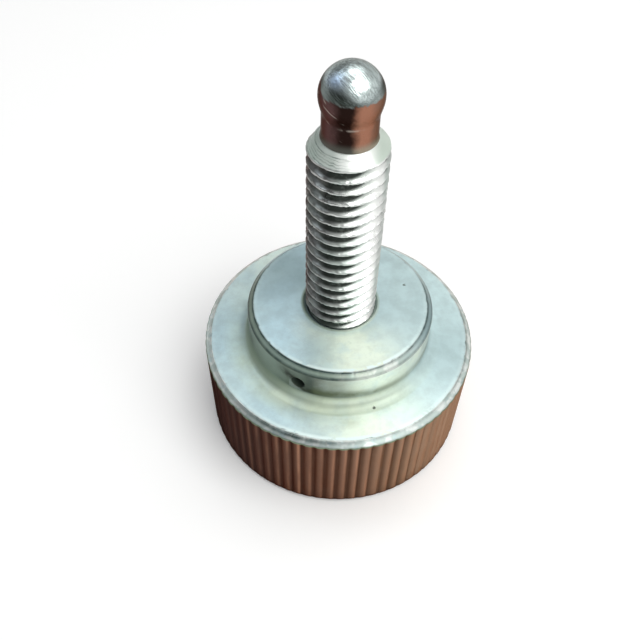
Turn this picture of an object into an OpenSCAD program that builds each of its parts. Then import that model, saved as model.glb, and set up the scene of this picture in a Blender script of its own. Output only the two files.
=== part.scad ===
// Thumb screw: a knurled head with a collar, and a threaded stud with a ball thrust point.
// The screw stands on its head. The axis is Z, and Z = 0 is the head's end face.

/* [Knurled disc] */
// Diameter of the disc over the knurl
disc_d = 24; // [20:0.5:32]
// Height of the disc
disc_h = 10; // [7:0.5:14]
// Number of knurl ridges
ridge_count = 76; // [60:4:96]
// Depth of the grooves between the ridges
groove_depth = 0.16; // [0.1:0.01:0.3]
// Width of the chamfer on both rims, measured across
rim_chamfer_w = 0.5; // [0.4:0.05:0.9]
// Height of the chamfer on both rims
rim_chamfer_h = 0.45; // [0.3:0.05:0.8]

/* [Collar] */
// Diameter of the collar
collar_d = 16; // [13:0.5:18]
// Height of the collar above the disc
collar_h = 4; // [3:0.5:7]
// Chamfer round the collar face
collar_chamfer = 0.45; // [0.2:0.05:0.7]
// Radius of the fillet at the collar's foot
foot_fillet_r = 1; // [0.4:0.1:1.5]
// Width of the countersink ring that shows round the stud
countersink_gap = 0.2; // [0.15:0.05:0.5]

/* [Threaded stud] */
// Nominal diameter of the thread
thread_d = 6; // [5:0.5:8]
// Pitch of the thread
thread_pitch = 1; // [0.7:0.05:1.25]
// Thread that stands above the collar face
thread_l = 16.8; // [10:0.2:40]
// Length of the stud inside the head
engaged_l = 7; // [5:0.5:10]

/* [Thrust point] */
// Diameter of the neck
neck_d = 4; // [3:0.1:4.4]
// Diameter of the ball
ball_d = 4.5; // [4.2:0.1:5]
// Length from the end of the full thread to the tip of the ball
point_l = 6.2; // [5:0.1:9]

/* [Cross pin] */
// Diameter of the pin
pin_d = 1.2; // [1:0.1:2]
// Depth of the pin's axis below the collar face
pin_drop = 2; // [1.5:0.1:2.2]
// How far the pin's end is sunk below the collar's side
pin_recess = 0.8; // [0.3:0.1:1.5]
// How far the pin reaches past the bore into the far wall
pin_grip = 2; // [1:0.1:2.5]
// Turn of the pin about the screw's axis
pin_turn = -113; // [-180:1:180]

/* [Hidden] */
$fn = 96;

// Share of a ridge's pitch that its flat top and the groove's floor take
ridge_top_share = 0.52;
groove_floor_share = 0.1;
// Shares of the thread's pitch that the crest and the root take, and the angle between its flanks
crest_share = 1 / 8;
root_share = 1 / 6;
flank_angle = 60;
// Share of the pitch by which the thread's mean radius lies below its crest
mean_radius_share = 0.325;
// Rise of the cone at the thread's end, as a share of its step from thread to neck
end_cone_share = 0.7;
// Rise of the drill point at the bottom of the bore, as a share of the bore's radius
drill_point_share = 0.6;

// Free length of the bore below the stud
bore_spare = 1;
// Clearance between the stud and its bore
thread_clear = 0.05;
// Least height of the lowest crest above the collar face
thread_rise = 0.1;
// Clearance between the pin and its hole
pin_clear = 0.02;
// Chamfers at the stud's inner end and at the pin's ends
stud_end_chamfer = 0.5;
pin_end_chamfer = 0.15;
// Overrun that carries every cut clear of the surface
overrun = 1;

disc_r = disc_d / 2;
collar_r = collar_d / 2;
thread_r = thread_d / 2;
neck_r = neck_d / 2;
ball_r = ball_d / 2;

face_z = disc_h + collar_h;
cone_z = face_z + thread_l;
neck_z = cone_z + end_cone_share * (thread_r - neck_r);
tip_z = cone_z + point_l;
ball_z = tip_z - ball_r;

// Inside the head the two threads meet at their mean radius
engaged_r = thread_r - mean_radius_share * thread_pitch;
bore_r = engaged_r + thread_clear;
stud_end_z = face_z - engaged_l;
bore_end_z = stud_end_z - bore_spare;
mouth_r = thread_r + countersink_gap;
mouth_z = face_z - (mouth_r - bore_r);

// The thread is a row of rings with the thread's section. The highest crest ends at the cone.
crest_w = crest_share * thread_pitch;
flank_w = (thread_pitch - crest_w - root_share * thread_pitch) / 2;
root_r = thread_r - flank_w / tan(flank_angle / 2);
crest_count = floor((thread_l - thread_rise - crest_w) / thread_pitch) + 1;
lowest_crest_z = cone_z - crest_w - (crest_count - 1) * thread_pitch;
// Below the lowest crest the flank runs down to the mean radius
widen_z = lowest_crest_z - (thread_r - engaged_r) * tan(flank_angle / 2);

pin_r = pin_d / 2;
pin_hole_r = pin_r + pin_clear;
pin_z = face_z - pin_drop;
pin_outer = collar_r - pin_recess;
pin_inner = -(bore_r + pin_grip);
pin_hole_inner = pin_inner - pin_clear;

ridge_pitch = 360 / ridge_count;
groove_r = disc_r - groove_depth;

function polar(r, a) = [r * cos(a), r * sin(a)];

// One ridge of the knurl: two corners of its flat top and two of the groove after it
function ridge(i) = let (a = i * ridge_pitch, top = ridge_top_share / 2, floor = groove_floor_share / 2) [
  polar(disc_r, a - top * ridge_pitch),
  polar(disc_r, a + top * ridge_pitch),
  polar(groove_r, a + (1 / 2 - floor) * ridge_pitch),
  polar(groove_r, a + (1 / 2 + floor) * ridge_pitch)
];

// Cross-section of the straight knurl
module knurl_section() {
  polygon([for (i = [0 : ridge_count - 1]) each ridge(i)]);
}

// Half section of the disc and collar, without the knurl
module head_profile() {
  difference() {
    polygon([
      [0, 0],
      [disc_r - rim_chamfer_w, 0],
      [disc_r, rim_chamfer_h],
      [disc_r, disc_h - rim_chamfer_h],
      [disc_r - rim_chamfer_w, disc_h],
      [collar_r + foot_fillet_r, disc_h],
      [collar_r, disc_h + foot_fillet_r],
      [collar_r, face_z - collar_chamfer],
      [collar_r - collar_chamfer, face_z],
      [0, face_z]
    ]);
    translate([collar_r + foot_fillet_r, disc_h + foot_fillet_r]) circle(foot_fillet_r);
  }
}

// Half section of the blind bore: drill point, thread bore and countersink
module bore_profile() {
  polygon([
    [0, bore_end_z - drill_point_share * bore_r],
    [bore_r, bore_end_z],
    [bore_r, mouth_z],
    [mouth_r, face_z],
    [mouth_r + overrun, face_z + overrun],
    [0, face_z + overrun]
  ]);
}

// One ring of the thread: two corners of its crest and, below the next ring, two of the root
function thread_ring(i) = let (low = lowest_crest_z + i * thread_pitch, high = low + crest_w) [
  [thread_r, low],
  [thread_r, high],
  if (i < crest_count - 1) [root_r, high + flank_w],
  if (i < crest_count - 1) [root_r, low + thread_pitch - flank_w]
];

// Half section of the stud, from its inner end to the tip of the ball
module stud_profile() {
  polygon([
    [0, stud_end_z],
    [engaged_r - stud_end_chamfer, stud_end_z],
    [engaged_r, stud_end_z + stud_end_chamfer],
    [engaged_r, widen_z],
    for (i = [0 : crest_count - 1]) each thread_ring(i),
    [neck_r, neck_z],
    [neck_r, ball_z],
    [0, ball_z]
  ]);
  intersection() {
    translate([0, ball_z]) circle(ball_r);
    translate([0, ball_z - ball_r]) square([ball_r, ball_d]);
  }
}

// Places a shape that is drawn along Z on the cross pin's axis
module on_pin_axis(from) {
  rotate([0, 0, pin_turn]) translate([from, 0, pin_z]) rotate([0, 90, 0]) children();
}

// Hole for the pin, drilled from the collar's side through the bore into the far wall
module pin_hole() {
  on_pin_axis(pin_hole_inner) cylinder(h = collar_r + overrun - pin_hole_inner, r = pin_hole_r);
}

module knurled_head() {
  color([0.73, 0.78, 0.78])
    difference() {
      intersection() {
        rotate_extrude() head_profile();
        linear_extrude(height = face_z) knurl_section();
      }
      rotate_extrude() bore_profile();
      pin_hole();
    }
}

module thrust_stud() {
  color([0.79, 0.81, 0.8])
    difference() {
      rotate_extrude() stud_profile();
      pin_hole();
    }
}

module cross_pin() {
  color([0.42, 0.43, 0.43])
    on_pin_axis(pin_inner)
      rotate_extrude()
        polygon([
          [0, 0],
          [pin_r - pin_end_chamfer, 0],
          [pin_r, pin_end_chamfer],
          [pin_r, pin_outer - pin_inner - pin_end_chamfer],
          [pin_r - pin_end_chamfer, pin_outer - pin_inner],
          [0, pin_outer - pin_inner]
        ]);
}

knurled_head();
thrust_stud();
cross_pin();
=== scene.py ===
import math

import bpy
import numpy as np
from mathutils import Matrix, Vector


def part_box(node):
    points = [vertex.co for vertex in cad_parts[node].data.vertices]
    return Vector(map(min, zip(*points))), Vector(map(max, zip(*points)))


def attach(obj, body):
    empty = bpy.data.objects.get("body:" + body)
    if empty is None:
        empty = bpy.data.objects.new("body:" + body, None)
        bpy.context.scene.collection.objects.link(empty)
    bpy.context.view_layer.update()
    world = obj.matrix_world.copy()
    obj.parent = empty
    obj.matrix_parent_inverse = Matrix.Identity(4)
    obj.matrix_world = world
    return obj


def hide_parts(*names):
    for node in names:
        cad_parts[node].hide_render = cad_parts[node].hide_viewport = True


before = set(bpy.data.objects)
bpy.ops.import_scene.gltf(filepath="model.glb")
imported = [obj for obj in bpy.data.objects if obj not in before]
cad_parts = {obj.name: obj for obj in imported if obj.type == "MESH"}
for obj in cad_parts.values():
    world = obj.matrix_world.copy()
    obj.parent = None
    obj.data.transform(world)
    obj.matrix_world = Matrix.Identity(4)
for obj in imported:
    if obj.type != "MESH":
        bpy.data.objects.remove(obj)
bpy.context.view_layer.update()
mm = 0.001
weldGap = 1e-4 * mm  # points on the same step of this size become one
frontAngle = -np.pi / 2  # the front of the screw faces -Y
print("stage: frame loaded")


# shape tools

def unit(vectors):  # each vector divided by its own length
    return vectors / np.linalg.norm(vectors, axis=-1, keepdims=True)


def smoothStep(low, high, x):  # 0 at low, 1 at high, an S curve between
    t = np.clip((x - low) / (high - low), 0, 1)
    return t * t * (3 - 2 * t)


def softMin(a, b, reach):  # the smaller of two values, blended where they lie within reach of each other
    h = np.clip(0.5 + 0.5 * (b - a) / reach, 0, 1)
    return b * (1 - h) + a * h - reach * h * (1 - h)


def bell(x, centre, width):  # a bell curve, 1 at its centre
    return np.exp(-((x - centre) / width) ** 2)


def turnGap(angle, centre):  # signed difference of two angles, between -pi and pi
    return (angle - centre + np.pi) % (2 * np.pi) - np.pi


def lengthAlong(path):  # distance along a chain of points from its first one
    return np.concatenate([[0], np.cumsum(np.linalg.norm(np.diff(path, axis=0), axis=-1))])


# A chain of straight runs whose corners are circular arcs: each arc is a rational curve between the two
# points that lie one cut away from its corner. Every column of the grid has its own copy of the corners.
def roundedPath(corners, columns):
    places = np.stack([
        np.stack(np.broadcast_arrays(c["r"], c["z"], np.zeros(columns))[:2], -1) for c in corners
    ])
    rows, stations = [], []
    for k, corner in enumerate(corners):
        here, cut = places[k], corner.get("cut", 0)
        if cut > 0:
            back = unit(places[k - 1] - here)
            ahead = unit(places[k + 1] - here)
            weight = np.sqrt((1 - (back * ahead).sum(-1, keepdims=True)) / 2)
            t = np.linspace(0, 1, corner["arc"] + 1)[:, None, None]
            a, b, c = (1 - t) ** 2, 2 * weight * t * (1 - t), t ** 2
            arc = (a * (here + cut * back) + b * here + c * (here + cut * ahead)) / (a + b + c)
        else:
            arc = here[None]
        inner = corner.get("rows", 0)
        if rows and inner:
            share = (1 - np.cos(np.pi * np.arange(1, inner + 1) / (inner + 1))) / 2
            rows.append(rows[-1][-1] + share[:, None, None] * (arc[0] - rows[-1][-1]))
            stations.append(k - 1 + share)
        rows.append(arc)
        stations.append(np.full(len(arc), float(k)))
    return np.concatenate(rows), np.concatenate(stations), {c["mark"]: i for i, c in enumerate(corners)}


def turned(path, angle):  # each row of a half section carried round Z: x = r cos, y = r sin
    r, z = path[..., 0], path[..., 1]
    return np.stack([r * np.cos(angle), r * np.sin(angle), z], -1)


def ringQuads(rows, columns, first=0):  # the quads of a grid that closes on itself round its columns
    i, j = np.meshgrid(np.arange(rows - 1), np.arange(columns), indexing="ij")
    here, beside = i * columns + j, i * columns + (j + 1) % columns
    return first + np.stack([here, beside, beside + columns, here + columns], -1)


# Points that coincide become one, so seams and poles close, and a quad with a lost side becomes a triangle
def weldedMesh(name, points, quads, traits):
    keys = np.round(points / weldGap).astype(np.int64)
    _, kept, new = np.unique(keys, axis=0, return_index=True, return_inverse=True)
    quads = new.reshape(-1)[quads.reshape(-1, 4)]
    lost = quads == np.roll(quads, -1, axis=1)
    whole = quads[~lost.any(1)]
    halves = [np.roll(quads[lost[:, k] & (lost.sum(1) == 1)], -k, axis=1)[:, 1:] for k in range(4)]
    mesh = bpy.data.meshes.new(name)
    mesh.from_pydata(points[kept].tolist(), [], np.concatenate(halves).tolist() + whole.tolist())
    mesh.polygons.foreach_set("use_smooth", np.ones(len(mesh.polygons), bool))
    for label, values in traits.items():
        layer = mesh.attributes.new(label, "FLOAT", "POINT")
        layer.data.foreach_set("value", values[kept].astype(np.float32))
    mesh.update()
    piece = bpy.data.objects.new(name, mesh)
    bpy.context.scene.collection.objects.link(piece)
    print("  made", name, len(mesh.vertices), "points,", len(mesh.polygons), "faces")
    return piece


# A spot of worn finish, stain, painted shade or painted light: the section it lies on, its share, its ramps
# (0 at, 1 at), its fades to the right (share lost, from, to) and its bell curves (place, width)
def spot(on, share, ramps=None, fades=(), **bells):
    return {"on": on, "share": share, "ramps": ramps or {}, "fades": fades, "bells": bells}


# A mask is the sum of its spots: each is its share of its section, times all its curves
def summed(spots, sections, places):
    total = 0.0
    for row in spots:
        value = row["share"] * sections[row["on"]]
        for axis, curve in row["bells"].items():
            value = value * bell(places[axis], *curve)
        for axis, curve in row["ramps"].items():
            value = value * smoothStep(*curve, places[axis])
        for share, low, high in row["fades"]:
            value = value * (1 - share * smoothStep(low, high, places["front"]))
        total = total + value
    return total


# knurled head, in mm and radians

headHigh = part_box("knurled_head")[1]
headCut = {
    "discRadius": headHigh.x / mm,
    "discHeight": 10.0,
    "faceHeight": headHigh.z / mm,
    "rimAcross": 0.5,
    "rimHigh": 0.45,
    "collarRadius": 8.0,
    "collarChamfer": 0.45,
    "footFillet": 1.0,
    "mouthRadius": 3.2,
    "mouthCut": 0.06,
    "boreRadius": 2.725,
    "boreEnd": 6.0,
    "drillPoint": 1.635,
    "ridges": 76,
    "grooveDepth": 0.16,
    "ridgeTopShare": 0.34,
    "grooveFloorShare": 0.06,
    "edgeCut": 0.07,
    "ridgeCut": 0.05,
    "columnShares": (-0.455, -0.40, -0.33, -0.25, -0.15, 0.0, 0.15, 0.25, 0.33, 0.40, 0.455, 0.5),
    "ridgeSpread": 0.35,
    "runOut": 0.2,  # share of the grooves' depth that is left at the rims
    "runOutHigh": 0.35,  # height over which they run out
    "glintInset": 0.10,  # two rings inside each face edge
    "shadeInset": 0.26,
    "nickDepth": 0.05,
    "nickReach": 3,  # columns on each side that a nick is averaged over
    "nickFrom": (0.5, 0.72),
    "seed": 11,
}
pinHole = {
    "radius": 0.62,
    "lip": 0.08,
    "drop": 2.0,
    "turn": math.radians(-113),
    "floor": 2.75,
    "window": 0.9,
    "flatRings": 5,
    "lipRings": 4,
    "wallRings": 6,
    "floorShares": (0.5, 0.0),
    "lipShade": (0.1, 0.6),
    "lipGlint": 0.25,
    "glintAt": (0.1, 0.22),
    "glintFrom": (0.25, 0.75),
}

# where the collar's side turns from grey to pale, as an angle from the front
greyEdge = (math.radians(-14) - 0.05, math.radians(-14) + 0.05)

# Where the head is worn or has stains, and where shade, light and reflections are painted on it, by the angle
# from its front (positive to the right), the radius, the height and the distances from the edges of its two
# faces
headWearAndShade = {
    "streakStrength": (0.35, 1.0),
    "ridgeLine": (0.20, 0.10),
    "ridgePale": (-0.46, 0.1),
    "ridgeDark": (0.27, 0.42),
    "ridgeDarkSpread": 0.4,
    "flankFade": 0.95,  # the knurl's painted ridge shade and highlights fade on both flanks
    "flankLeft": (-0.95, 0.52),
    "flankRight": (1.05, 0.45),
    "flankRightShare": 0.9,
    "lineSeen": (1.75, 2.2),  # the painted shade lines fade out behind
    "rimLeast": 0.38,
    "rimMost": (-0.3, 0.36),
    "rimPlace": 0.29,
    "rimWidth": 0.25,
    "rimShift": 0.24,
    "rimShiftFrom": (0.0, 0.4),
    "rimOuter": (1.0, 0.26),
    "rimOuterLeast": 0.5,
    "rimOuterMore": 0.25,
    "rimOuterMost": (-0.35, 0.4),
    "bevelLeast": 0.55,
    "bevelFrom": (0.25, -0.08),
    "bevelInner": (0.06, 0.26),
    "bevelOuter": (0.86, 0.24),
    "faintShare": 0.4,  # the line along the collar's face is fainter on the left
    "faintFrom": (-0.4, -0.9),
    "spill": 0.5,
    "spillReach": 0.2,
    "highFrom": (10.9, 11.2),
    "baseFrom": (1.1, 0.25),
    "lipFrom": (0.2, 0.0),
    "oliveLift": 0.25,
    "oliveLiftFrom": (0.45, 0.05),
    "smudgeAxes": (0.85, 0.5),
    # pale bands of painted reflection on the rim's chamfer and on the front of the bevel, broken into paler
    # and greyer pieces
    "band": (
        spot("rim", 1.0),
        spot("bevel", 1.0, front=(0.5, 0.38)),
    ),
    # pale chips along both face edges with a painted highlight on them, strongest at the front
    "glint": (
        spot("face", 0.12, ramps={"fromRim": (-0.5, -0.3)}),
        spot("face", 1.2, front=(0.2, 0.62), ramps={"fromRim": (-0.5, -0.3)}),
        spot("top", 0.12, ramps={"fromBevel": (-0.42, -0.3)}),
        spot("top", 1.2, front=(0.2, 0.62), ramps={"fromBevel": (-0.42, -0.3)}),
    ),
    # a pale yellowish stain with painted light and a painted reflection of the stud in it: at the front of
    # both faces, on the right of the collar's side and on the right of the mouth
    "tint": (
        spot("top", 1.25, front=(0.32, 0.5), ramps={"r": (2.9, 3.9)}),
        spot("top", 0.6, front=(-0.55, 0.4), r=(4.0, 0.9)),
        spot("face", 1.0, front=(0.28, 0.42)),
        spot("face", 0.6, front=(-2.45, 0.5)),
        spot("face", 0.5, front=(-0.55, 0.4), ramps={"r": (10.3, 9.1)}),
        spot("throat", 0.9, front=(0.7, 0.9), ramps={"z": (13.55, 13.85)}),
        spot("highSide", 0.9, ramps={"front": greyEdge}, fades=((0.7, 0.9, 1.35), (1.0, 1.4, 1.8))),
    ),
    "sallow": (
        spot("face", 0.7, front=(-0.8, 0.9), ramps={"r": (10.5, 8.9)}),
        spot("face", 0.9, front=(0.15, 0.09), r=(9.85, 0.45)),
        spot("foot", 1.0, front=(0.15, 0.6)),
        spot("top", 0.12, front=(0.1, 0.5), ramps={"r": (4.7, 3.5)}),
        spot("bevel", 1.0, front=(0.3, 0.5)),
    ),
    # painted shade in patches: both faces to the back left and the right, the rim and the bevel at the sides
    "dim": (
        spot("face", 0.40, front=(1.35, 0.45)),
        spot("face", 0.12, front=(-0.7, 0.35)),
        spot("face", 0.12, front=(-1.5, 0.3)),
        spot("top", 0.58, front=(-2.2, 0.55)),
        spot("top", 0.12, front=(-1.5, 0.35)),
        spot("top", 0.28, front=(1.35, 0.7)),
        spot("top", 0.14, front=(2.3, 0.5)),
        spot("top", 0.65, front=(0.45, 0.6), r=(6.85, 0.17)),
        spot("rim", 0.8, front=(1.4, 0.55)),
        spot("bevel", 0.85, front=(1.4, 0.5)),
        spot("bevel", 0.4, front=(-1.5, 0.4)),
    ),
    "shade": (
        spot("seenHigh", 1.0, ramps={"front": (-0.19, -0.30)}),
        spot("seenLow", 1.0, ramps={"front": (0.05, -0.75), "z": (10.03, 10.35)}),
        spot("seenBevel", 0.9, ramps={"front": (0.25, -0.15)}),
        spot("bevel", 0.1, front=(-1.6, 0.5)),
        spot("foot", 0.75, front=(0.2, 0.5), z=(10.17, 0.22)),
        spot("throat", 1.0, ramps={"z": (13.75, 14.0)}),
        spot("throat", -0.9, front=(0.8, 0.9), ramps={"z": (13.75, 14.0)}),
    ),
    # darker painted shade in patches on the collar's side, strongest left of the front and at the far left,
    # and on the bevel at the far left
    "dusk": (
        spot("highSide", 0.76, front=(-0.24, 0.18)),
        spot("highSide", 0.48, front=(0.03, 0.17)),
        spot("highSide", 0.55, front=(-1.4, 0.35)),
        spot("highSide", 0.2, front=(-0.5, 0.2)),
        spot("highSide", 0.12, front=(0.8, 0.25)),
        spot("side", 0.45, front=(-0.4, 0.25), z=(11.25, 0.35)),
        spot("bevel", 0.3, front=(-1.55, 0.45)),
    ),
    "olive": (
        spot("side", 1.0, oliveRise=(11.3, 0.5), ramps={"front": greyEdge},
             fades=((0.5, 0.1, 0.9), (1.0, 1.2, 1.7))),
        spot("side", 0.3, front=(-0.02, 0.3), z=(10.95, 0.35)),
        spot("face", 0.3, front=(0.15, 0.08), r=(9.85, 0.4)),
    ),
    "smudge": (spot("side", 1.0, smudgeLong=(0.8, 1.05), smudgeWide=(0.05, 0.62)),),
    # painted shade down in the bore
    "recessShade": (spot("bore", 1.0, ramps={"z": (13.8, 13.55)}),),
}


# Depth of the knurl across a ridge's share of the turn, from 0 on its top to 1 in the groove: an S curve
def grooveShare(share, cut):
    return smoothStep(cut["ridgeTopShare"] / 2, 0.5 - cut["grooveFloorShare"] / 2, np.abs(share))


# The half section's corners, from the centre of the end face up and in to the bottom of the bore. The two
# face edges are worn back by the nicks, one value for each column.
def headCorners(cut, depth, nicks):
    rimEdge = cut["discRadius"] - cut["rimAcross"]
    knurl = cut["discRadius"] - cut["grooveDepth"] * depth
    knurlEnd = cut["discRadius"] - cut["runOut"] * cut["grooveDepth"] * depth  # grooves run out at the rims
    rise = cut["rimHigh"] * (knurlEnd - rimEdge) / cut["rimAcross"]
    plain = cut["rimHigh"] + cut["runOutHigh"]
    face, disc, collar = cut["faceHeight"], cut["discHeight"], cut["collarRadius"]
    faceEdge, collarTop = collar - cut["collarChamfer"], face - cut["collarChamfer"]
    mouth, bore = cut["mouthRadius"], cut["boreRadius"]
    edge, ridge = cut["edgeCut"], cut["ridgeCut"]
    glint, shade = cut["glintInset"], cut["shadeInset"]
    worn = cut["nickDepth"] * nicks
    return [
        {"mark": "underCentre", "r": 0, "z": 0},
        {"mark": "underEdge", "r": rimEdge, "z": 0, "cut": edge, "arc": 3, "rows": 3},
        {"mark": "knurlFoot", "r": knurlEnd, "z": rise, "cut": ridge, "arc": 2},
        {"mark": "knurlLow", "r": knurl, "z": plain},
        {"mark": "knurlShade", "r": knurl, "z": disc - plain, "rows": 3},
        {"mark": "knurlHead", "r": knurlEnd, "z": disc - rise, "cut": ridge, "arc": 2, "rows": 1},
        {"mark": "rimEdge", "r": rimEdge - worn[0], "z": disc, "cut": edge, "arc": 3, "rows": 6},
        {"mark": "rimGlint", "r": rimEdge - glint, "z": disc, "rows": 1},
        {"mark": "rimInset", "r": rimEdge - shade, "z": disc, "rows": 1},
        {"mark": "foot", "r": collar, "z": disc, "cut": cut["footFillet"], "arc": 8, "rows": 4},
        {"mark": "collarTop", "r": collar, "z": collarTop, "cut": edge, "arc": 3, "rows": 12},
        {"mark": "faceEdge", "r": faceEdge - worn[1], "z": face, "cut": edge, "arc": 3, "rows": 6},
        {"mark": "faceGlint", "r": faceEdge - glint, "z": face, "rows": 1},
        {"mark": "faceInset", "r": faceEdge - shade, "z": face, "rows": 1},
        {"mark": "mouth", "r": mouth, "z": face, "cut": cut["mouthCut"], "arc": 3, "rows": 6},
        {"mark": "boreTop", "r": bore, "z": face - mouth + bore, "rows": 3},
        {"mark": "boreEnd", "r": bore, "z": cut["boreEnd"]},
        {"mark": "drillPoint", "r": 0, "z": cut["boreEnd"] - cut["drillPoint"]},
    ]


# The pin hole fills a window in the collar's grid. Its rings run from the window's edge to the mouth circle,
# over a rounded lip, down the wall and in to the centre of the floor.
def drilledRings(edgeAngle, edgeZ, hole, cut):
    collar, axisZ = cut["collarRadius"], cut["faceHeight"] - hole["drop"]
    across, up = collar * np.sin(turnGap(edgeAngle, hole["turn"])), edgeZ - axisZ
    around = np.arctan2(up, across)
    mouth = hole["radius"] + hole["lip"]
    share = np.linspace(0, 1, hole["flatRings"])[:, None]
    flatAcross = across + share * (mouth * np.cos(around) - across)
    flatUp = up + share * (mouth * np.sin(around) - up)
    flatDeep = np.sqrt(collar ** 2 - flatAcross ** 2)
    lip = np.linspace(0, np.pi / 2, hole["lipRings"] + 1)[1:, None]
    lipRadius = mouth - hole["lip"] * np.sin(lip)
    lipDeep = np.sqrt(collar ** 2 - (lipRadius * np.cos(around)) ** 2) - hole["lip"] * (1 - np.cos(lip))
    wallShare = np.linspace(0, 1, hole["wallRings"] + 1)[1:, None]
    wallDeep = lipDeep[-1] + wallShare * (hole["floor"] - lipDeep[-1])
    wallRadius = np.full((hole["wallRings"], 1), hole["radius"])
    floorRadius = hole["radius"] * np.array(hole["floorShares"])[:, None]
    floorDeep = np.full((len(floorRadius), len(around)), hole["floor"])
    radius = np.concatenate([lipRadius, wallRadius, floorRadius])
    ringAcross = np.concatenate([flatAcross, radius * np.cos(around)])
    ringUp = np.concatenate([flatUp, radius * np.sin(around)])
    ringDeep = np.concatenate([flatDeep, lipDeep, wallDeep, floorDeep])
    c, s = np.cos(hole["turn"]), np.sin(hole["turn"])
    places = np.stack([ringDeep * c - ringAcross * s, ringDeep * s + ringAcross * c, axisZ + ringUp], -1)
    lipShade = np.linspace(*hole["lipShade"], hole["lipRings"])
    deepSoil = np.ones(len(wallRadius) + len(floorRadius))
    inside = np.concatenate([np.zeros(hole["flatRings"]), lipShade, deepSoil])[:, None]
    return places, inside + np.zeros(ringUp.shape)


# Masks of worn finish, stains, painted shade, painted highlights and painted reflections on the head, one
# value for each point. Sections are told apart by their place along the half section. A dark line of painted
# shade is a bell curve across the rim or the bevel, stronger on some sides.
def paintHead(points, station, mark, dark, cut, hole, wearAndShade):
    x, y, z = points[..., 0], points[..., 1], points[..., 2]
    r, front = np.hypot(x, y), np.arctan2(x, -y)
    fromRim = r - (cut["discRadius"] - cut["rimAcross"])
    fromBevel = r - (cut["collarRadius"] - cut["collarChamfer"])

    def between(low, high):
        return (station >= mark[low]) & (station <= mark[high])

    knurl, rim = between("underEdge", "knurlHead"), between("knurlHead", "rimEdge")
    face, side = between("rimEdge", "foot"), between("foot", "collarTop")
    bevel, top = between("collarTop", "faceEdge"), between("faceEdge", "mouth")
    foot = station == mark["foot"]
    high = smoothStep(*wearAndShade["highFrom"], z)

    seen = 1 - smoothStep(*wearAndShade["lineSeen"], np.abs(front))
    rimShare, bevelShare = fromRim / cut["rimAcross"], fromBevel / cut["collarChamfer"]
    rimWay = seen * (wearAndShade["rimLeast"] + (1 - wearAndShade["rimLeast"]) * bell(front, *wearAndShade["rimMost"]))
    rimPlace = wearAndShade["rimPlace"] - wearAndShade["rimShift"] * smoothStep(*wearAndShade["rimShiftFrom"], front)
    outerWay = seen * (wearAndShade["rimOuterLeast"] + wearAndShade["rimOuterMore"] * bell(front, *wearAndShade["rimOuterMost"]))
    rimLine = rimWay * bell(rimShare, rimPlace, wearAndShade["rimWidth"])
    rimLine = rimLine + outerWay * bell(rimShare, *wearAndShade["rimOuter"])
    bevelWay = seen * (wearAndShade["bevelLeast"] + (1 - wearAndShade["bevelLeast"]) * smoothStep(*wearAndShade["bevelFrom"], front))
    faint = 1 - wearAndShade["faintShare"] * smoothStep(*wearAndShade["faintFrom"], front)
    bevelLine = faint * bell(bevelShare, *wearAndShade["bevelInner"]) + bell(bevelShare, *wearAndShade["bevelOuter"])
    line = rim * rimLine + bevel * np.clip(bevelWay * bevelLine, 0, 1)
    line = line + face * wearAndShade["spill"] * rimWay * smoothStep(-wearAndShade["spillReach"], 0, fromRim)
    line = line + top * wearAndShade["spill"] * bevelWay * smoothStep(-wearAndShade["spillReach"], 0, fromBevel)

    # the smudge lies up and to the left of the pin hole, along its own two axes on the collar's side
    sideTurn = cut["collarRadius"] * turnGap(front, hole["turn"] - frontAngle)
    sideRise = z - (cut["faceHeight"] - hole["drop"])
    major, minor = wearAndShade["smudgeAxes"]
    places = {
        "front": front,
        "r": r,
        "z": z,
        "fromRim": fromRim,
        "fromBevel": fromBevel,
        "oliveRise": z - wearAndShade["oliveLift"] * smoothStep(*wearAndShade["oliveLiftFrom"], front),
        "smudgeLong": -major * sideTurn + minor * sideRise,
        "smudgeWide": minor * sideTurn + major * sideRise,
    }
    sections = {
        "rim": rim,
        "bevel": bevel,
        "face": face,
        "foot": foot,
        "side": side,
        "top": top,
        "throat": between("mouth", "boreTop"),
        "bore": station > mark["mouth"],
        "highSide": side * high,
        "seenHigh": side * high * seen,
        "seenLow": side * (1 - high) * seen,
        "seenBevel": bevel * seen,
    }
    belowRim = cut["discHeight"] - cut["rimHigh"] - z
    masks = {
        "knurl": knurl,
        "groove": knurl * dark,
        # painted shade towards the knurl's lower edge
        "base": knurl * smoothStep(*wearAndShade["baseFrom"], z),
        # a thin line of painted shade along the top of the knurl, under the rim
        "lip": between("knurlShade", "knurlHead") * smoothStep(*wearAndShade["lipFrom"], belowRim),
        "line": line,
        "foot": foot,
    }
    for name in ("band", "glint", "tint", "sallow", "dim", "shade", "dusk", "olive", "smudge", "recessShade"):
        masks[name] = summed(wearAndShade[name], sections, places)
    return {name: values + 0.0 * z for name, values in masks.items()}


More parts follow.
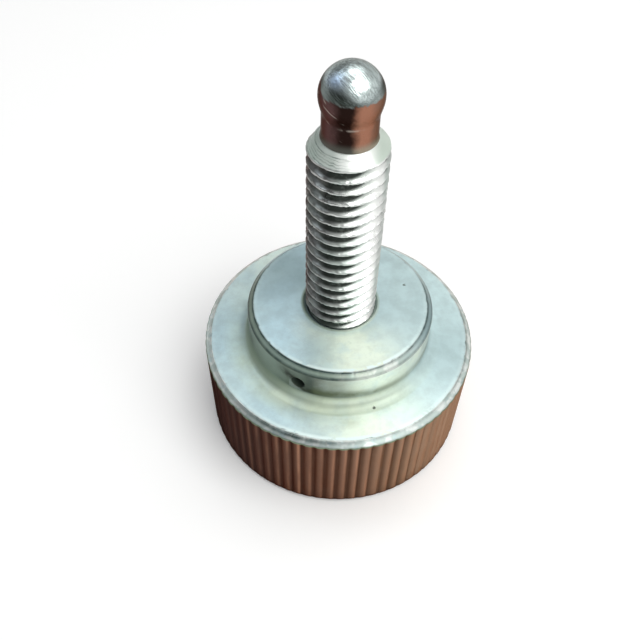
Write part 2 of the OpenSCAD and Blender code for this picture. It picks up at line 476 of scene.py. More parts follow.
# The half section carried round Z on columns that follow the ridges, with a window left open for the pin hole
def buildHead(cut, hole, wearAndShade):
    draw = np.random.default_rng(cut["seed"])
    ridges, shares = cut["ridges"], np.array(cut["columnShares"])
    angle = ((np.arange(ridges)[:, None] + shares) * 2 * np.pi / ridges).ravel()
    spread = 1 - cut["ridgeSpread"] * draw.random((ridges, 1))
    depth = (grooveShare(shares, cut) * spread).ravel()
    worn = draw.uniform(*wearAndShade["streakStrength"], (ridges, 1))
    front = turnGap(angle, frontAngle)
    flanks = bell(front, *wearAndShade["flankLeft"]) + wearAndShade["flankRightShare"] * bell(front, *wearAndShade["flankRight"])
    clear = 1 - wearAndShade["flankFade"] * flanks
    streak = (bell(shares, *wearAndShade["ridgeLine"]) * worn).ravel() * clear  # a painted highlight along the right side of each ridge, of random strength
    tone = smoothStep(*wearAndShade["ridgePale"], shares) * (1 - smoothStep(*wearAndShade["ridgeDark"], shares))
    darkness = 1 - wearAndShade["ridgeDarkSpread"] * draw.random((ridges, 1))
    dark = ((1 - tone) * darkness).ravel() * clear  # painted shade, darker to the left of each ridge
    chance = draw.random((2, len(angle)))
    reach = cut["nickReach"]
    chance = sum(np.roll(chance, k, axis=1) for k in range(-reach, reach + 1)) / (2 * reach + 1)
    nicks = smoothStep(*cut["nickFrom"], chance)
    path, station, mark = roundedPath(headCorners(cut, depth, nicks), len(angle))
    points = turned(path, angle)
    rows, columns = points.shape[:2]
    along = lengthAlong(path[:, cut["columnShares"].index(0.0)])  # up the middle of the first ridge

    # the window for the pin hole, in rows and columns of the collar's side
    axisZ = cut["faceHeight"] - hole["drop"]
    side = np.flatnonzero((station >= mark["foot"]) & (station <= mark["collarTop"]))
    sideZ = path[side, 0, 1]
    low = side[np.flatnonzero(sideZ <= axisZ - hole["window"])[-1]]
    high = side[np.flatnonzero(sideZ >= axisZ + hole["window"])[0]]
    inWindow = np.flatnonzero(np.abs(turnGap(angle, hole["turn"])) * cut["collarRadius"] <= hole["window"])
    left, right = inWindow[0], inWindow[-1]
    quads = ringQuads(rows, columns)
    covered = np.ones(quads.shape[:2], bool)
    covered[low:high, left:right] = False
    loop = np.concatenate([
        low * columns + np.arange(left, right),
        np.arange(low, high) * columns + right,
        high * columns + np.arange(right, left, -1),
        np.arange(high, low, -1) * columns + left,
    ])
    loopRow, loopColumn = np.divmod(loop, columns)
    drilled, inside = drilledRings(angle[loopColumn], path[loopRow, 0, 1], hole, cut)
    drilled[0] = points.reshape(-1, 3)[loop]

    paint = paintHead(points, station[:, None], mark, dark, cut, hole, wearAndShade)
    paint["along"] = along[:, None] + 0 * depth
    paint["streak"] = paint["knurl"] * streak
    sideStation = np.full(inside.shape, mark["collarTop"] - 0.5)  # a place on the collar's side
    drilledPaint = paintHead(drilled, sideStation, mark, 0, cut, hole, wearAndShade)
    drilledPaint["along"] = np.interp(drilled[..., 2], sideZ, along[side])
    drilledPaint["streak"] = 0 * inside
    # painted shade, deeper into the pin hole
    drilledPaint["recessShade"] = inside
    # a painted highlight on the lower left of the hole's lip, where its lower wall is lit
    turnAway = cut["collarRadius"] * turnGap(np.arctan2(drilled[..., 1], drilled[..., 0]), hole["turn"])
    lowLeft = smoothStep(*hole["glintFrom"], -turnAway - (drilled[..., 2] - axisZ))
    drilledPaint["glint"] = hole["lipGlint"] * bell(inside, *hole["glintAt"]) * lowLeft
    traits = {name: np.concatenate([paint[name].ravel(), drilledPaint[name].ravel()]) for name in paint}
    allPoints = np.concatenate([points.reshape(-1, 3), drilled.reshape(-1, 3)]) * mm
    drilledQuads = ringQuads(*drilled.shape[:2], first=rows * columns).reshape(-1, 4)
    return weldedMesh("knurledHead", allPoints, np.concatenate([quads[covered], drilledQuads]), traits)


# threaded stud, in mm and radians

studLow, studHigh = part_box("thrust_stud")
studCut = {
    "endHeight": studLow.z / mm,
    "tipHeight": studHigh.z / mm,
    "threadRadius": studHigh.x / mm,
    "engagedRadius": 2.675,
    "endChamfer": 0.5,
    "widenHeight": 13.55,
    "coneHeight": 30.8,
    "neckHeight": 31.5,
    "neckRadius": 2.0,
    "ballRadius": 2.25,
    "pitch": 1.0,
    "depth": 0.613,
    "crestFlat": 0.125,
    "flankSlope": math.tan(math.radians(60)),
    "crestRound": 0.05,
    "rootRound": 0.09,
    "endRound": 0.02,
    "crestHeight": 14.70,  # height of a crest at the front of the stud
    "lastTurn": 16,
    "runOutFrom": (-2.6, -1.6),
    "boreStop": 0.2,  # below the widening
    "threadStart": 0.1,  # below the widening
    "threadStop": 0.02,  # below the neck
    "rowsPerTurn": 30,
    "columns": 144,
    "coneRidges": 2.7,
    "coneTwist": 1.8,
    "coneRidgeDepth": 0.03,
    "coneRidgeFrom": (0.2, -0.6),
    "coneRidgeStart": (0.0, 0.15),
    "notchDepth": 0.06,
    "notchRows": 3,
    "notchFrom": (0.48, 0.8),
    "notchReach": (0.2, 0.05),  # below the crest
    "flare": 0.10,
    "flareHigh": 0.09,
    "flareRows": (0.03, 0.3, 6),  # above the neck's foot, from, to and how many
    "neckRows": (0.4, 0.1, 26),  # from above the neck's foot to below the ball's centre
    "ballRows": 36,
    "ballBlend": 0.25,
    "seed": 23,
}

# Where the stud is nicked or scuffed, and where shade, light and reflections are painted on it, by the angle
# from its front, the height and the heights above the cone's foot, the neck's foot and the ball's centre
studWearAndShade = {
    "threadFrom": (0.0, 0.1),
    "rootTo": (0.15, -0.1),
    "threadTo": (0.1, -0.1),
    "coneLap": 0.05,
    "rootFrom": 0.20,  # depth in the thread at which the painted shade begins
    "rootSoft": 0.05,
    "rootFull": 0.3,
    "wide": (-0.40, 0.42),  # the painted shade of the roots is widest to the left of the front
    "wideFrom": 0.16,
    "wideFull": 0.12,
    "rootLit": (0.72, 0.48),  # and lighter on the right, where the light falls
    "rootLitFrom": 0.65,
    "downFrom": 0.7,  # and on the flanks that face down
    "leftLess": 0.6,
    "leftFrom": (-0.45, -1.0),
    "backFrom": (-2.6, -1.9),
    "lowHeight": (16.0, 14.2),  # the lowest turns take painted shade on the left
    "lowFrom": (0.1, -0.5),
    "lowShare": 0.8,
    "shoulderTop": 1.65,  # the ball's painted dark lower half, a painted reflection, reaches up at the sides
    "shoulderDip": 0.55,
    "shoulderDipAt": (0.4, 0.5),
    "shoulderEnd": (0.0, -0.6),
    "shoulderFoot": (-1.0, 0.0),
    "castTop": 1.5,
    "castFrom": (-0.15, 0.1),
    # painted shade on the thread's left flanks, and a painted brown reflection along its far left edge
    "left": (
        spot("thread", 1.0, front=(-1.15, 0.62)),
        spot("thread", 0.4, front=(-0.62, 0.2)),
    ),
    "leftEdge": (spot("thread", 1.0, front=(-1.6, 0.3)),),
    "cone": (spot("stud", 1.0, ramps={"fromCone": (0.0, 0.1), "fromNeck": (0.15, 0.0)}),),
    # a painted brown reflection on the neck and the ball's underside, and on the ball's left edge
    "brownReflection": (
        spot("brownReflection", 1.0),
        spot("stud", 0.35, front=(-1.55, 0.35), fromBall=(0.8, 0.5)),
    ),
    # a painted bluish reflection on the ball's upper left
    "blueReflection": (spot("stud", 1.0, front=(-0.8, 0.45), fromBall=(1.62, 0.36)),),
    "shoulder": (
        spot("shoulder", 0.95),
        spot("shoulder", -0.4, front=(0.85, 0.4)),
        spot("shoulder", -0.25, front=(-1.1, 0.35)),
    ),
    "scuff": (spot("stud", 0.7, front=(0.05, 0.32), z=(33.33, 0.06)),),
    "nicked": (spot("stud", 1.0, front=(-0.8, 0.5)),),
    "neckFoot": (spot("stud", 1.0, ramps={"fromNeck": (0.8, 0.1)}),),
    "ball": (spot("stud", 1.0, ramps={"fromBall": (-1.6, -0.7)}),),
    # painted shade on the stud where it sits in the collar's mouth, less on the right
    "recessShade": (
        spot("stud", 1.0, ramps={"z": (14.3, 13.8)}),
        spot("stud", -0.7, front=(0.9, 0.8), ramps={"z": (14.3, 13.8)}),
    ),
}


# A 60 degree thread: the radius falls from the crest with the distance to the nearest crest line, at the
# flank's slope, and is held at the root. The crest line rises by one pitch in a turn to the right.
def fromCrest(z, angle, cut):  # signed height above the nearest crest line
    turns = turnGap(angle, frontAngle) / (2 * np.pi)
    return (((z - cut["crestHeight"]) / cut["pitch"] - turns + 0.5) % 1 - 0.5) * cut["pitch"]


def threadRadius(z, angle, cut):
    away = np.abs(fromCrest(z, angle, cut))
    flank = cut["threadRadius"] - (away - cut["crestFlat"] / 2) * cut["flankSlope"]
    crested = softMin(flank, cut["threadRadius"], cut["crestRound"])
    return -softMin(-crested, cut["depth"] - cut["threadRadius"], cut["rootRound"])


# Masks of the stud, one value for each point. The painted shade of the roots grows with the depth in the
# thread.
def paintStud(path, angle, lastCrest, runOut, cut, wearAndShade):
    r, z = path[..., 0], path[..., 1]
    front = turnGap(angle, frontAngle)
    coneLow = np.maximum(cut["coneHeight"] - lastCrest - wearAndShade["coneLap"], 0)
    fromCone = z - (cut["coneHeight"] - runOut * coneLow)
    fromNeck = z - cut["neckHeight"]
    fromBall = z - (cut["tipHeight"] - cut["ballRadius"])
    aboveFoot = smoothStep(*wearAndShade["threadFrom"], z - cut["widenHeight"])
    thread = aboveFoot * smoothStep(*wearAndShade["threadTo"], fromCone)
    back = smoothStep(*wearAndShade["backFrom"], front)

    wide = bell(front, *wearAndShade["wide"])
    darkFrom = wearAndShade["rootFrom"] - wearAndShade["wideFrom"] * wide + wearAndShade["rootLitFrom"] * bell(front, *wearAndShade["rootLit"])
    darkFrom = np.where(fromCrest(z, angle, cut) < 0, wearAndShade["downFrom"], darkFrom)
    darkFull = darkFrom + wearAndShade["rootFull"] + wearAndShade["wideFull"] * wide
    sunk = (cut["threadRadius"] - r) / cut["depth"]
    root = aboveFoot * smoothStep(*wearAndShade["rootTo"], fromCone)
    root = root * smoothStep(darkFrom - wearAndShade["rootSoft"], darkFull, sunk)
    root = root * (1 - wearAndShade["leftLess"] * smoothStep(*wearAndShade["leftFrom"], front) * back)
    low = smoothStep(*wearAndShade["lowHeight"], z) * smoothStep(*wearAndShade["lowFrom"], front) * back

    shoulderTop = wearAndShade["shoulderTop"] - wearAndShade["shoulderDip"] * bell(front, *wearAndShade["shoulderDipAt"])
    shoulderFoot = smoothStep(*wearAndShade["shoulderFoot"], fromBall)
    castFade = np.clip((wearAndShade["castTop"] - fromBall) / wearAndShade["castTop"], 0, 1)
    places = {"front": front, "z": z, "fromCone": fromCone, "fromNeck": fromNeck, "fromBall": fromBall}
    sections = {
        "stud": 1.0,
        "thread": thread,
        "brownReflection": smoothStep(*wearAndShade["castFrom"], fromNeck) * castFade,
        "shoulder": smoothStep(*wearAndShade["shoulderEnd"], fromBall - shoulderTop) * shoulderFoot,
    }
    masks = {}
    for name in ("left", "leftEdge", "cone", "brownReflection", "blueReflection", "shoulder", "scuff", "nicked", "neckFoot",
                 "ball", "recessShade"):
        masks[name] = summed(wearAndShade[name], sections, places)
    masks["left"] = np.maximum(masks["left"], wearAndShade["lowShare"] * low * thread)
    masks["thread"] = thread
    masks["root"] = root
    return {name: values + 0.0 * z for name, values in masks.items()}


# The half section carried round Z: the plain shank in the bore, the thread cut back by the cone at its top
# and by the widening at its foot, the neck blended into the ball, and the rest of the ball as an arc
def buildStud(cut, wearAndShade):
    columns = cut["columns"]
    angle = np.arange(columns) * 2 * np.pi / columns
    front = turnGap(angle, frontAngle)
    crest, engaged, neck, ball = (cut[k + "Radius"] for k in ("thread", "engaged", "neck", "ball"))
    widen, neckHeight = cut["widenHeight"], cut["neckHeight"]
    ballZ = cut["tipHeight"] - ball
    below, _, _ = roundedPath([
        {"mark": "endCentre", "r": 0, "z": cut["endHeight"]},
        {"mark": "endEdge", "r": engaged - cut["endChamfer"], "z": cut["endHeight"], "rows": 2},
        {"mark": "endChamfer", "r": engaged, "z": cut["endHeight"] + cut["endChamfer"]},
        {"mark": "bore", "r": engaged, "z": widen - cut["boreStop"], "rows": 2},
    ], columns)

    steps = int((neckHeight - widen) / cut["pitch"] * cut["rowsPerTurn"])
    z = np.linspace(widen - cut["threadStart"], neckHeight - cut["threadStop"], steps)[:, None]
    coneShare = (neckHeight - z) / (neckHeight - cut["coneHeight"])
    cone = neck + coneShare * (crest - neck)
    # turning ridges on the left of the cone
    ripple = 0.5 + 0.5 * np.cos(2 * np.pi * cut["coneRidges"] * coneShare + cut["coneTwist"] * front)
    ripple = ripple * smoothStep(*cut["coneRidgeFrom"], front) * smoothStep(*cut["coneRidgeStart"], coneShare)
    cone = cone - cut["coneRidgeDepth"] * ripple
    foot = engaged + np.maximum(z - widen, 0)
    # notches: random dips, a few rows high and one column wide, only near the crests and the cone's edge
    notchRows = cut["notchRows"]
    chance = np.random.default_rng(cut["seed"]).random((steps // notchRows + 1, columns))
    chance = chance.repeat(notchRows, axis=0)[:steps]
    chance = (2 * chance + np.roll(chance, 1, axis=0) + np.roll(chance, 1, axis=1)) / 4
    notch = cut["notchDepth"] * smoothStep(*cut["notchFrom"], chance)
    ridged = threadRadius(z, angle, cut)
    ridged = ridged - notch * smoothStep(*cut["notchReach"], crest - ridged)
    # the groove above the last crest is filled up to a cone of its own where it runs out
    lastCrest = cut["crestHeight"] + cut["pitch"] * (cut["lastTurn"] + front / (2 * np.pi))
    runOut = smoothStep(*cut["runOutFrom"], front)
    filled = neck + (neckHeight - z) / (neckHeight - lastCrest) * (crest - neck)
    ridged = ridged + runOut * (z > lastCrest) * np.maximum(filled - ridged, 0)
    held = np.where(z < widen, engaged, ridged)
    threadR = softMin(held, softMin(cone, foot, cut["endRound"]), cut["endRound"])
    thread = np.stack([threadR, z + 0 * angle], -1)

    arc = np.linspace(0, np.pi / 2, cut["ballRows"])
    ballPath = np.stack([ball * np.cos(arc), ballZ + ball * np.sin(arc)], -1)
    neckFrom, neckTo, neckCount = cut["neckRows"]
    flareZ = neckHeight + np.linspace(*cut["flareRows"])
    neckZ = np.concatenate([flareZ, np.linspace(neckHeight + neckFrom, ballZ - neckTo, neckCount)])
    neckR = neck + cut["flare"] * np.exp(-(neckZ - neckHeight) / cut["flareHigh"])
    ballR = np.sqrt(np.maximum(ball ** 2 - (neckZ - ballZ) ** 2, 0))
    neckPath = np.stack([-softMin(-neckR, -ballR, cut["ballBlend"]), neckZ], -1)
    above = np.concatenate([neckPath, ballPath])[:, None, :] + np.zeros((1, columns, 1))
    path = np.concatenate([below, thread, above])

    paint = paintStud(path, angle, lastCrest, runOut, cut, wearAndShade)
    along = lengthAlong(np.stack([path[..., 0].mean(1), path[:, 0, 1]], -1))
    paint["along"] = along[:, None] + 0 * angle
    traits = {name: values.ravel() for name, values in paint.items()}
    points = turned(path, angle).reshape(-1, 3) * mm
    return weldedMesh("thrustStud", points, ringQuads(len(path), columns).reshape(-1, 4), traits)


# material tools: a value that is a socket is linked, any other is set on the input itself

def feed(tree, socket, value):
    if isinstance(value, bpy.types.NodeSocket):
        tree.links.new(value, socket)
    else:
        socket.default_value = value


def addNode(tree, kind, inputs, **settings):
    node = tree.nodes.new(kind)
    for name, value in settings.items():
        setattr(node, name, value)
    for key, value in inputs.items():
        feed(tree, node.inputs[key], value)
    return node


def calc(tree, operation, a, b=0.0, clamp=False):
    return addNode(tree, "ShaderNodeMath", {0: a, 1: b}, operation=operation, use_clamp=clamp).outputs[0]


def times(tree, a, b):
    return calc(tree, "MULTIPLY", a, b)


def plus(tree, a, b):
    return calc(tree, "ADD", a, b)


def less(tree, a, b):
    return calc(tree, "SUBTRACT", a, b)


def sloped(tree, value, low, high):  # 0 at low, 1 at high, a straight line between
    return addNode(tree, "ShaderNodeMapRange", {0: value, 1: low, 2: high}).outputs[0]


def ranged(tree, value, low, high, toLow=0.0, toHigh=1.0):  # an S curve between the two ends
    inputs = {0: value, 1: low, 2: high, 3: toLow, 4: toHigh}
    return addNode(tree, "ShaderNodeMapRange", inputs, interpolation_type="SMOOTHSTEP").outputs[0]


def mixed(tree, share, a, b, blend="MIX"):
    node = addNode(tree, "ShaderNodeMix", {}, data_type="RGBA", blend_type=blend)
    for socket, value in zip((node.inputs[0], node.inputs[6], node.inputs[7]), (share, a, b)):
        feed(tree, socket, value)
    return node.outputs[2]


def noise(tree, place, scale, detail, rough):
    inputs = {"Vector": place, "Scale": scale, "Detail": detail, "Roughness": rough}
    return addNode(tree, "ShaderNodeTexNoise", inputs).outputs["Fac"]


def lineNoise(tree, value, scale, detail):  # noise along one value alone, for turning marks
    inputs = {"W": value, "Scale": scale, "Detail": detail}
    return addNode(tree, "ShaderNodeTexNoise", inputs, noise_dimensions="1D").outputs["Fac"]


def stretched(tree, place, turn, sizes):  # a pattern's own axes, turned, with a size in metres along each
    inputs = {"Vector": place, "Rotation": turn, "Scale": sizes}
    return addNode(tree, "ShaderNodeMapping", inputs, vector_type="TEXTURE").outputs[0]


def trait(tree, name):
    return addNode(tree, "ShaderNodeAttribute", {}, attribute_name=name).outputs["Fac"]


def addBump(tree, shader, look, height):
    inputs = {"Strength": look["bump"], "Distance": look["bumpHeight"], "Height": height}
    feed(tree, shader.inputs["Normal"], addNode(tree, "ShaderNodeBump", inputs).outputs[0])


def rgb(red, green, blue):  # a colour from 0 to 255 as the eye sees it, turned to a shader's linear values
    c = np.array([red, green, blue]) / 255
    linear = np.where(c <= 0.04045, c / 12.92, ((c + 0.055) / 1.055) ** 2.4)
    return (*linear.tolist(), 1.0)


def newFinish(name):
    material = bpy.data.materials.new(name)
    material.use_nodes = True
    tree = material.node_tree
    tree.nodes.clear()
    shader = tree.nodes.new("ShaderNodeBsdfPrincipled")
    out = tree.nodes.new("ShaderNodeOutputMaterial")
    tree.links.new(shader.outputs[0], out.inputs[0])
    place = tree.nodes.new("ShaderNodeTexCoord").outputs["Object"]
    return material, tree, shader, place


# zinc finish of the head, with painted shade, light and reflections. A noise is (scale, detail, roughness),
# and a span (from low, from high) with the values that these two turn into, or 0 and 1. Places are in metres
# to the right of the axis.

headLook = {
    "pale": rgb(207, 230, 231),
    # cool is the tone of a painted bluish reflection on the left
    "cool": rgb(195, 223, 232),
    # tint: a stain tone that also carries painted light and a painted reflection
    "tint": rgb(243, 255, 238),
    "sallow": rgb(196, 213, 184),
    "blotch": rgb(176, 190, 174),
    # dim and dusk are tones of painted shade
    "dim": rgb(128, 152, 156),
    "shade": rgb(130, 147, 127),
    "dusk": rgb(48, 58, 48),
    "olive": rgb(92, 104, 80),
    "smudge": rgb(30, 36, 28),
    # painted shade in the bore and in the pin hole
    "recessShade": rgb(46, 56, 50),
    "bandPale": rgb(246, 250, 246),
    "bandGrey": rgb(206, 218, 212),
    "line": rgb(58, 76, 74),
    "glint": rgb(236, 253, 251),
    # the knurl's colours are a painted brown reflection of a brown surface, painted darker to the left and
    # paler to the right as shade and light; streak is a painted highlight and baseDark painted shade
    "knurlEdge": rgb(44, 33, 32),
    "knurlDark": rgb(77, 60, 56),
    "knurlMid": rgb(139, 110, 95),
    "knurlPale": rgb(178, 149, 127),
    "streak": rgb(190, 146, 122),
    "baseDark": rgb(44, 22, 18),
    "speck": rgb(84, 94, 86),
    "edgeTint": (0.35, 0.22, 0.18, 1.0),
    "noises": {
        "cloud": (140, 4, 0.5),
        "patch": (420, 5, 0.6),
        "stain": (700, 5, 0.65),
        "broken": (1000, 2, 0.5),
        "chip": (1100, 3, 0.6),
        "grain": (1700, 3, 0.6),
        "fine": (5200, 3, 0.6),
    },
    "turning": (9.0, 3.0),
    "coolSpan": (0.35, 0.65, 0.3, 1.0),
    "coolAcross": (5 * mm, -4 * mm),
    "underCoats": (
        {"mask": "sallow", "tone": "sallow", "noise": "patch", "span": (0.3, 0.6, 0.4, 0.9)},
        {"mask": "tint", "tone": "tint", "noise": "patch", "span": (0.3, 0.6, 0.5, 1.0)},
        {"mask": "tint", "tone": "blotch", "noise": "stain", "span": (0.5, 0.72, 0.0, 0.4)},
    ),
    "mottleSpan": (0.3, 0.7, 0.87, 1.06),
    "coats": (
        {"mask": "dim", "tone": "dim"},
        {"mask": "shade", "tone": "shade", "share": 0.85},
        {"mask": "dusk", "tone": "dusk", "noise": "patch", "span": (0.3, 0.6, 0.75, 1.0)},
        {"mask": "olive", "tone": "olive", "noise": "patch", "span": (0.3, 0.6, 0.55, 0.95)},
    ),
    "chipSpan": (0.37, 0.47),
    "brokenSpan": (0.42, 0.56),
    "bandSpan": (0.3, 0.5, 0.3, 0.8),
    "lineSpan": (0.62, 0.40, 0.74, 1.0),
    "knurlTones": (
        ("knurlMid", (-8.0 * mm, 1.5 * mm)),
        ("knurlPale", (0.5 * mm, 7.0 * mm)),
        ("knurlEdge", (-9.5 * mm, -11.5 * mm)),
    ),
    "streakSize": (1.1 * mm, 1.1 * mm, 8 * mm),
    "streakNoise": (1.0, 3, 0.6),
    "streakSpan": (0.35, 0.65, 0.2, 1.0),
    "grooveShare": 0.7,
    "baseShare": 0.7,
    "lastCoats": (
        {"mask": "lip", "tone": "shade"},
        {"mask": "smudge", "tone": "smudge", "noise": "grain", "span": (0.3, 0.6, 0.5, 1.0)},
    ),
    "specks": ((5.51, 2.22, 14.0), (3.31, -8.11, 10.0)),
    "speckRagged": 0.4 * mm,
    "speckSpan": (0.06 * mm, 0.17 * mm, 1.0, 0.0),
    "diffuse": 0.24,
    "matteShare": 0.5,
    "recessShadeDull": 0.5,
    "roughSpan": (0.3, 0.7, 0.31, 0.43),
    "knurlRough": (-4 * mm, -8 * mm, 0.1, 0.3),
    "bump": 0.25,
    "bumpHeight": 0.02 * mm,
}


def headFinish(look):
    material, tree, shader, place = newFinish("zincHead")
    across = addNode(tree, "ShaderNodeSeparateXYZ", {"Vector": place}).outputs[0]
    noises = {name: noise(tree, place, *sizes) for name, sizes in look["noises"].items()}

    def over(base, mask, tone, share):  # one coat of colour where its mask and its share are strong
        return mixed(tree, calc(tree, "MULTIPLY", trait(tree, mask), share, True), base, tone)

    def coats(base, rows):
        for row in rows:
            share = row.get("share", 1.0)
            if "noise" in row:
                share = ranged(tree, noises[row["noise"]], *row["span"])
            base = over(base, row["mask"], look[row["tone"]], share)
        return base

    # a painted bluish reflection in patches towards the left of the head
    toLeft = sloped(tree, across, *look["coolAcross"])
    bluish = times(tree, ranged(tree, noises["cloud"], *look["coolSpan"]), toLeft)
    base = mixed(tree, bluish, look["pale"], look["cool"])
    base = coats(base, look["underCoats"])
    base = mixed(tree, 1.0, base, ranged(tree, noises["stain"], *look["mottleSpan"]), "MULTIPLY")
    base = coats(base, look["coats"])
    # pale chips with a painted highlight on them
    chipShare = ranged(tree, noises["chip"], *look["chipSpan"])
    chipsAndHighlight = calc(tree, "MULTIPLY", trait(tree, "glint"), chipShare, True)
    base = mixed(tree, chipsAndHighlight, base, look["glint"])
    # pale bands of painted reflection, then lines of painted shade, both broken by noise
    broken = ranged(tree, noises["broken"], *look["brokenSpan"])
    bandTone = mixed(tree, broken, look["bandGrey"], look["bandPale"])
    base = over(base, "band", bandTone, ranged(tree, noises["grain"], *look["bandSpan"]))
    base = over(base, "line", look["line"], ranged(tree, noises["chip"], *look["lineSpan"]))

    knurl, recessShade = trait(tree, "knurl"), trait(tree, "recessShade")
    # the knurl: a painted brown reflection, darker on the left and paler on the right as painted shade and
    # light, with painted highlight streaks on the ridges and painted shade in the grooves and towards its
    # lower edge
    brown = look["knurlDark"]
    for tone, span in look["knurlTones"]:
        brown = mixed(tree, sloped(tree, across, *span), brown, look[tone])
    streaked = noise(tree, stretched(tree, place, (0, 0, 0), look["streakSize"]), *look["streakNoise"])
    streak = times(tree, trait(tree, "streak"), ranged(tree, streaked, *look["streakSpan"]))
    brown = mixed(tree, streak, brown, look["streak"])
    grooveShade = less(tree, 1.0, times(tree, trait(tree, "groove"), look["grooveShare"]))
    brown = mixed(tree, 1.0, brown, grooveShade, "MULTIPLY")
    brown = mixed(tree, times(tree, trait(tree, "base"), look["baseShare"]), brown, look["baseDark"])
    base = mixed(tree, knurl, base, brown)
    base = coats(base, look["lastCoats"])
    uneven = times(tree, less(tree, noises["fine"], 0.5), look["speckRagged"])
    for speck in look["specks"]:
        ends = {0: place, 1: [v * mm for v in speck]}
        away = addNode(tree, "ShaderNodeVectorMath", ends, operation="DISTANCE").outputs["Value"]
        speckShare = ranged(tree, plus(tree, away, uneven), *look["speckSpan"])
        base = mixed(tree, speckShare, base, look["speck"])
    base = mixed(tree, recessShade, base, look["recessShade"])
    feed(tree, shader.inputs["Base Color"], base)
    shader.inputs["Specular Tint"].default_value = look["edgeTint"]

    # matte where there is tint, the fillet, painted shade, and pale chips with painted highlights
    dulled = calc(tree, "MAXIMUM", trait(tree, "tint"), trait(tree, "foot"))
    dulled = calc(tree, "MAXIMUM", dulled, trait(tree, "shade"))
    dulled = calc(tree, "MAXIMUM", dulled, chipsAndHighlight)
    dull = plus(tree, look["diffuse"], times(tree, dulled, look["matteShare"]))
    dull = times(tree, dull, less(tree, 1.0, knurl))
    dull = calc(tree, "ADD", dull, times(tree, recessShade, look["recessShadeDull"]), True)
    feed(tree, shader.inputs["Metallic"], less(tree, 1.0, dull))
    rough = ranged(tree, noises["patch"], *look["roughSpan"])
    knurlRough = times(tree, knurl, ranged(tree, across, *look["knurlRough"]))
    feed(tree, shader.inputs["Roughness"], plus(tree, rough, knurlRough))
    turning = lineNoise(tree, trait(tree, "along"), *look["turning"])
    addBump(tree, shader, look, plus(tree, turning, noises["fine"]))
    return material


# zinc finish of the stud, with painted shade, light and reflections

studLook = {
    "pale": rgb(222, 226, 223),
    "green": rgb(196, 208, 202),
    # the thread's root and left tones are painted shade, leftEdge a painted brown reflection and bright a
    # painted highlight
    "root": rgb(64, 68, 65),
    "left": rgb(124, 121, 120),
    "leftEdge": rgb(96, 70, 66),
    "bright": rgb(250, 252, 250),
    "ball": rgb(214, 230, 230),
    # the tone of a painted bluish reflection
    "blueReflection": rgb(198, 222, 250),
    "chipsAndHighlight": rgb(238, 243, 239),
    "coneMid": rgb(186, 196, 190),
    "coneLeft": rgb(176, 190, 182),
    "coneRight": rgb(204, 218, 207),
    "groove": rgb(96, 112, 106),
    # painted shade where the stud sits in the collar's mouth
    "recessShade": rgb(84, 94, 88),
    # tones of the painted brown reflection, dark on the left and pale on the right
    "castDark": rgb(36, 24, 21),
    "castSide": rgb(85, 63, 62),
    "castPale": rgb(154, 108, 88),
    "castRight": rgb(116, 92, 80),
    "neckFoot": rgb(84, 86, 80),
    "neckFootRight": rgb(150, 146, 130),
    # mottle darkens scrapes on the ball and its painted dark lower half
    "mottle": rgb(28, 36, 28),
    "scratch": rgb(216, 206, 194),
    "edgeTint": (0.42, 0.38, 0.36, 1.0),
    "noises": {
        "cloud": (300, 4, 0.5),
        "patch": (900, 4, 0.6),
        "grain": (2200, 3, 0.6),
        "fine": (5200, 3, 0.6),
    },
    "turning": (12.0, 3.0),
    "scratchTurn": (0, 0.456, -0.66),
    "scratchSize": (1.4 * mm, 0.16 * mm, 0.16 * mm),
    "scratchNoise": (1.0, 3, 0.65),
    "nickSize": (1.6 * mm, 0.35 * mm, 0.14 * mm),
    "nickNoise": (1.0, 1, 0.5),
    "wander": 0.9 * mm,  # how far the neck's tones wander to either side
    "greenSpan": (0.4, 0.7),
    "leftSpan": (0.36, 0.6, 0.9, 0.45),
    "leftEdgeShare": 0.8,
    "brightFrom": (1.5 * mm, 2.1 * mm),
    "brightTo": (2.75 * mm, 2.45 * mm),
    "rootSpan": (0.3, 0.5, 0.9, 1.0),
    "coneWaver": 0.16,
    "coneLines": (8.0, 1.0),
    "coneLineSpan": (0.52, 0.58),
    "coneLinePatch": (0.35, 0.6, 0.85, 0.3),
    "coneLineAcross": (0.6 * mm, -1.0 * mm),
    "coneTones": (
        ("coneMid", (-0.2 * mm, -1.2 * mm)),
        ("coneLeft", (-1.6 * mm, -2.5 * mm)),
        ("coneRight", (1.4 * mm, 2.3 * mm)),
    ),
    "ballShare": 0.8,
    "scrapedSpan": (0.56, 0.42, 0.0, 0.34),
    "mottleSpan": (0.36, 0.54, 0.82, 1.0),
    "castRagged": 0.35,
    "castSpan": (0.58, 0.70),
    "castTones": (
        ("castPale", (0.0, 0.8 * mm)),
        ("castSide", (-0.6 * mm, -1.4 * mm)),
        ("castRight", (1.2 * mm, 1.8 * mm, 0.0, 0.8)),
    ),
    "neckFootSpan": (0.0, 0.8 * mm),
    "neckFootShare": 0.8,
    "nickSpan": (0.67, 0.73),
    "scuffSpan": (0.42, 0.55),
    "scratchShare": 0.5,
    "recessShadeShare": 0.85,
    "coneDull": (0.6 * mm, -1.0 * mm, 0.5, 0.92),
    "blueDull": 0.4,
    "roughSpan": (0.3, 0.7, 0.26, 0.36),
    "ballSmooth": 0.06,
    "ballMarks": 5.0,
    "threadMarks": 0.8,
    "fineMarks": 0.3,
    "bump": 0.3,
    "bumpHeight": 0.02 * mm,
}


